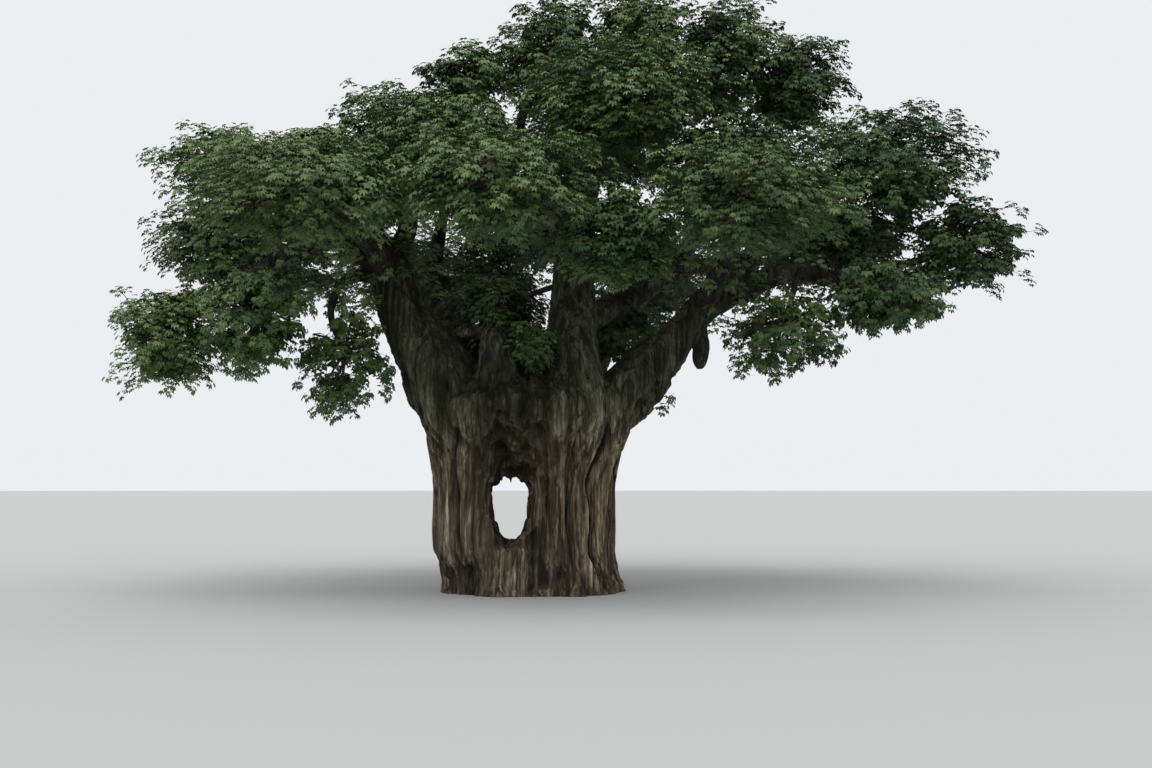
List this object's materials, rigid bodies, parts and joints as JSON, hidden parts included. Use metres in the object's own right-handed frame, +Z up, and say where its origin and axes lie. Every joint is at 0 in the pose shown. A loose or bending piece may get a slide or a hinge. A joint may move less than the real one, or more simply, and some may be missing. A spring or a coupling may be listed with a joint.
{
  "type": "baobab tree",
  "caption": "Broad old baobab tree in full leaf, with a thick folded trunk, a ragged hole worn right through it, forked tapering boughs and a wide rounded crown.",
  "frame": {"origin": "on the flat cut under the trunk, at ground level, near its middle", "axes": "+Z up the trunk, -Y towards the side that the picture shows, +X to the right in the picture, along the crown's greatest width"},
  "size_m": [22.722, 18.7401, 15.6091],
  "materials": {
    "bark": "matt, folded grey-brown bark",
    "limb_bark": "matt, darker bark",
    "leaves": "matt deep green leaves"
  },
  "bodies": {
    "root": {"bough_back_left": "bark", "bough_back_right": "bark", "bough_centre": "bark", "bough_left": "bark", "bough_right": "bark", "broken_stub": "bark", "foliage_back_heart": "leaves", "foliage_back_left": "leaves", "foliage_back_left_end": "leaves", "foliage_back_left_up": "leaves", "foliage_back_middle": "leaves", "foliage_back_right": "leaves", "foliage_back_right_end": "leaves", "foliage_back_right_up": "leaves", "foliage_fork": "leaves", "foliage_front": "leaves", "foliage_front_left": "leaves", "foliage_front_right": "leaves", "foliage_heart": "leaves", "foliage_inner_hanging": "leaves", "foliage_left_front": "leaves", "foliage_left_hanging": "leaves", "foliage_left_heart": "leaves", "foliage_left_low": "leaves", "foliage_left_plateau": "leaves", "foliage_left_shoulder": "leaves", "foliage_left_side": "leaves", "foliage_left_tip": "leaves", "foliage_left_top": "leaves", "foliage_right_dome": "leaves", "foliage_right_front": "leaves", "foliage_right_hanging": "leaves", "foliage_right_heart": "leaves", "foliage_right_low": "leaves", "foliage_right_middle": "leaves", "foliage_right_tip": "leaves", "foliage_right_upper": "leaves", "foliage_top": "leaves", "foliage_top_front": "leaves", "foliage_top_left": "leaves", "foliage_top_right": "leaves", "foliage_top_tuft": "leaves", "hanging_knob": "limb_bark", "limb_back_left_out": "limb_bark", "limb_back_left_up": "limb_bark", "limb_back_right_out": "limb_bark", "limb_back_right_up": "limb_bark", "limb_centre_front": "limb_bark", "limb_centre_left": "limb_bark", "limb_centre_right": "limb_bark", "limb_centre_up": "limb_bark", "limb_left_front": "limb_bark", "limb_left_hang": "limb_bark", "limb_left_high": "limb_bark", "limb_left_low": "limb_bark", "limb_left_up": "limb_bark", "limb_right_front": "limb_bark", "limb_right_out": "limb_bark", "limb_right_up": "limb_bark", "trunk": "bark"}
  },
  "joints": []
}
